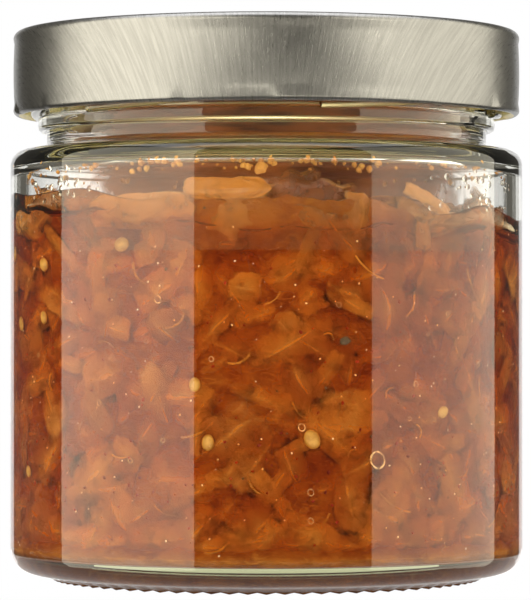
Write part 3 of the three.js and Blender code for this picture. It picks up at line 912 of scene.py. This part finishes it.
# Each has its place along the wall, behind the glass and above the foot, and its roll.
on_top = [
    laid(stalk, -6.8, 0.1, 63.6, 0.02, tone=0.9),
    laid(fan, -5.6, 0.2, 57.6, 0.1, tilt=(0.1, 0), tone=0.75),
    # The two folds take the darkest tones: painted shade for the hollows they lie in.
    laid(fold, 7.6, 1.8, 60.4, -0.08, tilt=(0.5, 0), tone=0.1),
    laid(fold, 3, 5.0, 61.5, 0.3, tilt=(0.8, 0.3), tone=0.2),
    laid(upright, 14.8, 0.2, 59.4, 1.5, tone=0.55),
    laid(upright, 7.6, 0.8, 57.8, -0.2, tilt=(0.3, 0), tone=0.4),
    laid(slab, -21.4, 0.15, 60.1, 0.03, tilt=(0.1, 0), tone=0.8),
    laid(chunk, 28, 0.15, 61.9, -0.42, size=(2.3, 0.72, 1), tone=1.0),
    laid(upright, 27.6, 0.6, 59.6, -0.15, size=(1.4, 0.9, 1), tone=0.6),
    laid(band, 34.5, 0.5, 58.5, 0.05, tilt=(0.2, 0), tone=0.45),
    laid(chunk, 26.3, 0.2, 56.5, 1.5, tone=0.6),
    laid(upright, 42.5, 0.3, 57.8, 1.3, tone=0.3),
    laid(slab, -46, 0.4, 59.5, 0.3, tilt=(0.15, 0), size=(0.8, 1.2, 1), tone=0.25),
]
# The photograph hides the rest of the wall, from one side round the back to the
# other, so the pieces there are placed at random.
BACK_PIECES = 30
BACK_FROM = 0.17
BACK_SHARE = 0.66
BACK_DEPTHS = (0.3, 1.5)
BACK_HEIGHTS = (56.5, 60.5)
for i in range(BACK_PIECES):
    along = WALL_LENGTH * (BACK_FROM + BACK_SHARE * (i + draw.random()) / BACK_PIECES)
    on_top.append(laid(
        draw.choice([fan, fold, slab, band, upright]),
        along if along < WALL_LENGTH / 2 else along - WALL_LENGTH,
        draw.uniform(*BACK_DEPTHS), draw.uniform(*BACK_HEIGHTS), draw.gauss(0, 0.3),
        (draw.uniform(0, 0.5), draw.gauss(0, 0.1)), (0.8, 0.8, 1), draw.random(),
    ))
tops = wrapped("top_pieces", on_top)
# The dark colour of this finish is painted shade for the hollows among the top pieces.
finish_piece(tops, cabbage_finish(
    "wet_top_leaf", light=(0.52, 0.2, 0.015), dark=(0.12, 0.03, 0.005), vein=(0.6, 0.32, 0.08),
    thin=0.5, full=0.92, edge=0.14, gloss=0.6,
), "kimchi")
scrap(top_cuts)


# More leaf lies across the middle of the heap, away from the glass: the same broad
# cuts, dropped flat on the mass in a spiral, each leaning its own way.
HEAP_LEAVES = 26
HEAP_REACH = 33
HEAP_HEIGHT = 59
HEAP_SIZE = 1.2
SPIRAL_STEP = 2.4
HEAP_LEAN = 0.3
FULL_TURN = 6.28
wider = Matrix.Diagonal((HEAP_SIZE, HEAP_SIZE, 1, 1))
heap = []
for i in range(HEAP_LEAVES):
    template = draw.choice(broad_cuts)
    turn = i * SPIRAL_STEP
    reach = HEAP_REACH * math.sqrt((i + 0.5) / HEAP_LEAVES)
    place = Vector((math.sin(turn) * reach, math.cos(turn) * reach, HEAP_HEIGHT)) * MM
    lean = Euler((draw.gauss(0, HEAP_LEAN), draw.gauss(0, HEAP_LEAN), draw.uniform(0, FULL_TURN)))
    leaf = copied(template, Matrix.Translation(place) @ lean.to_matrix().to_4x4() @ wider)
    heap.append(toned(leaf, draw.random()))
finish_piece(joined("heap_leaves", heap), cabbage_finish(
    "heap_leaf", light=(0.45, 0.2, 0.03), dark=(0.26, 0.09, 0.015), vein=(0.55, 0.3, 0.08),
    thin=0.7, full=0.95, edge=0.06,
), "kimchi")
scrap(broad_cuts)


# Round flat chilli seeds, pale yellow and a little leathery, that came with the
# ground chilli. They are pressed against the glass here and there. Ten lie where the
# photograph has them, and the rest at random round the back.
SEED_RADII = (1.15, 0.95, 0.4)
SEED_DEPTH = 0.55


def sized(piece, radii):
    piece.data.transform(Matrix.Diagonal([radius * MM for radius in radii]).to_4x4())


seed = begun(bpy.ops.mesh.primitive_uv_sphere_add, segments=14, ring_count=8, radius=1)
sized(seed, SEED_RADII)
displaced(seed, 1.5 * MM, 0.25 * MM)
# Each has its azimuth, height and size.
SEED_PLACES = [
    (-79, 54, 1.1), (-73, 42.5, 1.1), (-68, 18.5, 0.9), (-60, 52, 1.15), (-60, 43.5, 1.0),
    (-34, 55, 1.2), (-16, 33, 1.0), (-13, 24, 1.1), (10, 24.5, 1.35), (43, 28.5, 1.0),
]
SEEDS_BEHIND = 16
BEHIND = (85, 275)


def any_roll():
    return draw.uniform(0, 3)


def round_wall(azimuth):
    return math.radians(azimuth) * CAVITY_RADIUS


seeds = [
    laid(seed, round_wall(azimuth), SEED_DEPTH, height, any_roll(), size=(size, size, 1))
    for azimuth, height, size in SEED_PLACES
]
for i in range(SEEDS_BEHIND):
    azimuth = draw.uniform(*BEHIND)
    seeds.append(laid(
        seed, round_wall(azimuth - 360 * (azimuth > 180)), SEED_DEPTH, draw.uniform(12, 54),
        any_roll(), size=(1.05, 1.05, 1),
    ))
seeds = wrapped("chilli_seeds", seeds)
grain = Finish("seed_coat")
dapple = grain.noise(grain.place(), scale=700, detail=3, roughness=0.6)
coat = grain.principled({
    "Base Color": grain.blend(grain.span(dapple, 0.35, 0.65), (0.42, 0.2, 0.03), (0.6, 0.34, 0.08)),
    "Roughness": 0.35, "Normal": grain.bump(dapple, distance=0.0002, strength=0.5),
})
finish_piece(seeds, grain.surface(coat), "kimchi")
scrap([seed])


# Flakes of dried red chilli, stirred in and hanging all through the brine. Many of
# them have sunk into a band low in the jar.
FLAKES = 420
FLAKE_RADII = (0.28, 0.2, 0.1)
FLAKE_SIZES = (0.5, 1.2)
FLAKE_HEIGHTS = (7, 56)
SUNK_SHARE = 0.4
SUNK_HEIGHT = 19
SUNK_SPREAD = 4
flake = begun(bpy.ops.mesh.primitive_ico_sphere_add, subdivisions=2, radius=1)
displaced(flake, 0.7, 0.8)
sized(flake, FLAKE_RADII)


def any_place():
    return draw.uniform(-0.5, 0.5) * WALL_LENGTH


flakes = []
for i in range(FLAKES):
    sunk = draw.random() < SUNK_SHARE
    size = draw.uniform(*FLAKE_SIZES)
    flakes.append(laid(
        flake, any_place(), draw.uniform(0.12, 0.5),
        draw.gauss(SUNK_HEIGHT, SUNK_SPREAD) if sunk else draw.uniform(*FLAKE_HEIGHTS), any_roll(),
        size=(size, size, 1), tone=draw.random(),
    ))
flakes = wrapped("chilli_flakes", flakes)
red = Finish("dried_chilli")
husk = red.principled({
    "Base Color": red.blend(red.tone(), (0.12, 0.008, 0.001), (0.28, 0.02, 0.003)),
    "Roughness": 0.4, "Specular IOR Level": 0.2,
})
finish_piece(flakes, red.surface(husk), "kimchi")


# Flecks of black pepper and burnt crumb, afloat against the glass. Two lie where
# the photograph has them, the larger one right of the middle, and the rest at random.
FLECKS = 50
FLECK_SIZES = (0.4, 1.0)
FLECK_DEPTH = 0.12
flecks = [
    laid(flake, 12.2, 0.2, 39.8, 0.3, size=(3.2, 3.4, 1.5)),
    laid(flake, -9.6, 0.2, 60.5),
]
for i in range(FLECKS):
    size = draw.uniform(*FLECK_SIZES)
    flecks.append(laid(
        flake, any_place(), FLECK_DEPTH, draw.uniform(8, 56), any_roll(), size=(size, size, 1),
    ))
flecks = wrapped("pepper_flecks", flecks)
black = Finish("pepper")
dust = black.noise(black.place(), scale=3000, detail=2)
husk = black.principled({
    "Base Color": black.blend(dust, (0.015, 0.008, 0.003), (0.12, 0.06, 0.02)), "Roughness": 0.5,
})
finish_piece(flecks, black.surface(husk), "kimchi")
scrap([flake])


# A film of brine and chilli left on the glass above the heap, and up the neck: thick
# round the back, thin at the front, and wiped nearly clear at the two sides.
FILM = 0.14
FILM_GAP = 0.03
FILM_FOOT = (54, 60, 64)
NECK_HEIGHTS = (80, 86)
CLEAR_FROM = 0.034
CLEAR_TO = 0.040
FILM_CENTRE = 0.0015


def sleeve(inset):
    return [
        *[(CAVITY_RADIUS - inset, height) for height in FILM_FOOT],
        *arc(
            CAVITY_RADIUS - CEILING_ROUND, CEILING_HEIGHT - CEILING_ROUND, CEILING_ROUND - inset,
            0, 90, 6,
        ),
        *arc(RIM_MIDDLE, NECK_FOOT, RIM_ROUND + inset, 250, 180, 6),
        *[(MOUTH_RADIUS - inset, height) for height in NECK_HEIGHTS],
    ]


film_outline = sleeve(FILM_GAP) + sleeve(FILM_GAP + FILM)[::-1]
film_outline.append(film_outline[0])
film = turned("brine_film", film_outline, 180)
residue = Finish("dried_brine")
where = residue.place()
across, away, height = residue.axes(where)
aside = residue.node("ShaderNodeMath", {"operation": "ABSOLUTE"}, {0: across - FILM_CENTRE})
smear = residue.noise(
    residue.stretched(where, (0, 0, 0), (1, 1, 0.5)),
    scale=260, detail=4, roughness=0.65, distortion=0.5,
)
patchy = residue.noise(where, scale=90, detail=3)
covered = 1 - residue.span(aside + smear * 0.012, CLEAR_FROM, CLEAR_TO)
thick = residue.span(away, -0.03, 0.02, 0.14, 0.97)
stain = residue.principled({
    "Base Color": residue.blend(
        residue.span(patchy, 0.38, 0.58), (0.08, 0.018, 0.002), (0.27, 0.075, 0.01),
    ),
    "Roughness": 0.3,
    "Alpha": covered * thick * residue.span(smear, 0.25, 0.5, 0.75, 1),
    "Normal": residue.bump(smear, distance=0.0004, strength=0.5),
})
finish_piece(film, residue.surface(stain), "kimchi")


# Air bubbles, caught as the jar was filled and pressed flat against the glass. Only
# their rims show, as fine pale rings, the largest a little right of the middle.
ring = begun(
    bpy.ops.mesh.primitive_torus_add, major_radius=MM, minor_radius=0.13 * MM,
    major_segments=28, minor_segments=8,
)
# Each has its place along the wall, its height and its size.
BUBBLE_PLACES = [
    (17.6, 21.2, 1.15), (5.4, 26.4, 0.5), (6.8, 16.3, 0.45), (6.8, 11.9, 0.4), (-17.2, 46.3, 0.5),
    (-8.5, 37, 0.35), (24.5, 33, 0.4), (-22, 21, 0.35), (31, 44, 0.35), (-28, 30, 0.4),
]
BUBBLE_STRETCH = 1.15
SMALL_BUBBLES = 40
SMALL_BUBBLE_SIZES = (0.2, 0.4)
bubbles = [
    laid(ring, along, 0.15, height, 0.4, size=(size, size * BUBBLE_STRETCH, size))
    for along, height, size in BUBBLE_PLACES
]
for i in range(SMALL_BUBBLES):
    size = draw.uniform(*SMALL_BUBBLE_SIZES)
    bubbles.append(laid(ring, any_place(), 0.12, draw.uniform(8, 56), size=(size, size, size)))
bubbles = wrapped("air_bubbles", bubbles)
# The pale colour of the rings is a painted glint: the light caught at a bubble's edge.
bubble_glint = Finish("bubble_ring_glint")
shine = bubble_glint.noise(bubble_glint.place(), scale=1500, detail=2)
painted_ring_glint = bubble_glint.principled({
    "Base Color": bubble_glint.blend(shine, (0.6, 0.3, 0.1), (0.95, 0.7, 0.4)), "Roughness": 0.2,
    "Alpha": bubble_glint.span(shine, 0.4, 0.6, 0.2, 0.8),
})
finish_piece(bubbles, bubble_glint.surface(painted_ring_glint), "kimchi")
scrap([ring])


# Near-white specks, hung all through the brine just behind the glass. They are painted
# glints: the finest bright points of light on the wet pieces, put on as colour.
SPECKS = 500
SPECK_RADII = (0.17, 0.12, 0.08)
SPECK_SIZES = (0.4, 1.3)
speck = begun(bpy.ops.mesh.primitive_ico_sphere_add, subdivisions=1, radius=1)
sized(speck, SPECK_RADII)
specks = []
for i in range(SPECKS):
    size = draw.uniform(*SPECK_SIZES)
    specks.append(laid(
        speck, any_place(), draw.uniform(0.1, 0.25), draw.uniform(6, 58), any_roll(),
        size=(size, size, 1), tone=draw.random(),
    ))
specks = wrapped("glint_specks", specks)
speck_glints = Finish("painted_glints")
# Their near-white colour is the painted glint.
painted_speck_glint = speck_glints.principled({
    "Base Color": speck_glints.blend(speck_glints.tone(), (0.7, 0.4, 0.1), (0.95, 0.85, 0.65)),
    "Roughness": 0.3,
})
finish_piece(specks, speck_glints.surface(painted_speck_glint), "kimchi")
scrap([speck])


# Beads of water that gathered on the inside of the wall above the brine. They hang
# on its clear parts, to the left and the right, and round the back.
BEADS = 150
BEAD_RADII = (0.5, 0.62, 0.26)
BEAD_SIZES = (0.25, 1.0)
BEADED = (60.5, 67.5)
drop = begun(bpy.ops.mesh.primitive_ico_sphere_add, subdivisions=3, radius=1)
sized(drop, BEAD_RADII)
displaced(drop, 0.8 * MM, 0.3 * MM)
drops = []
for i in range(BEADS):
    size = draw.uniform(*BEAD_SIZES)
    side = 1 if i % 2 else -1
    azimuth = draw.choice([draw.gauss(55, 9), draw.uniform(100, 165)])
    drops.append(laid(
        drop, side * round_wall(azimuth), 0.2 * size, draw.uniform(*BEADED), draw.gauss(0, 0.4),
        size=(size, size, size),
    ))
drops = wrapped("water_beads", drops)
water = Finish("clear_water")
still = water.principled({
    "Base Color": (1, 0.98, 0.94), "Roughness": 0.0, "IOR": 1.33, "Transmission Weight": 1.0,
})
lets_light = water.node("ShaderNodeBsdfTransparent", None, {"Color": AIR_TINT})
finish_piece(drops, water.surface(water.by_ray("Is Shadow Ray", still, lets_light)), "kimchi")
scrap([drop])


# Crumbs of chilli paste that dried where they were caught, in the corner under the
# shoulder. They are thickest at the front, and one large one sits on the wall there.
CRUMBS = 150
CRUMBS_IN_FRONT = 90
CRUMB_RADII = (0.5, 0.4, 0.35)
CRUMB_SPREAD = 0.1
CRUMB_TOP = 68.2
CRUMB_FALL = 1.8
crumb = begun(bpy.ops.mesh.primitive_ico_sphere_add, subdivisions=2, radius=1)
displaced(crumb, 0.8, 0.9)
sized(crumb, CRUMB_RADII)
crumbs = [laid(crumb, -0.8, 0.45, 66.7, 0.7, size=(2.2, 2.2, 1))]
for i in range(CRUMBS):
    size = draw.uniform(0.3, 1.1) ** 1.5 + 0.15
    low = draw.random() ** 2
    crumbs.append(laid(
        crumb, draw.gauss(0, CRUMB_SPREAD) * WALL_LENGTH if i < CRUMBS_IN_FRONT else any_place(),
        0.4 + 0.5 * (1 - low), CRUMB_TOP - CRUMB_FALL * low, any_roll(),
        size=(size, size, size), tone=draw.random(),
    ))
crumbs = wrapped("paste_crumbs", crumbs)
paste = Finish("dry_paste")
rough = paste.noise(paste.place(), scale=2500, detail=2, roughness=0.6)
crust = paste.principled({
    "Base Color": paste.blend(paste.tone(), (0.45, 0.17, 0.02), (0.62, 0.32, 0.05)),
    "Roughness": 0.6, "Normal": paste.bump(rough, distance=0.0002, strength=0.5),
})
finish_piece(crumbs, paste.surface(crust), "kimchi")
scrap([crumb])
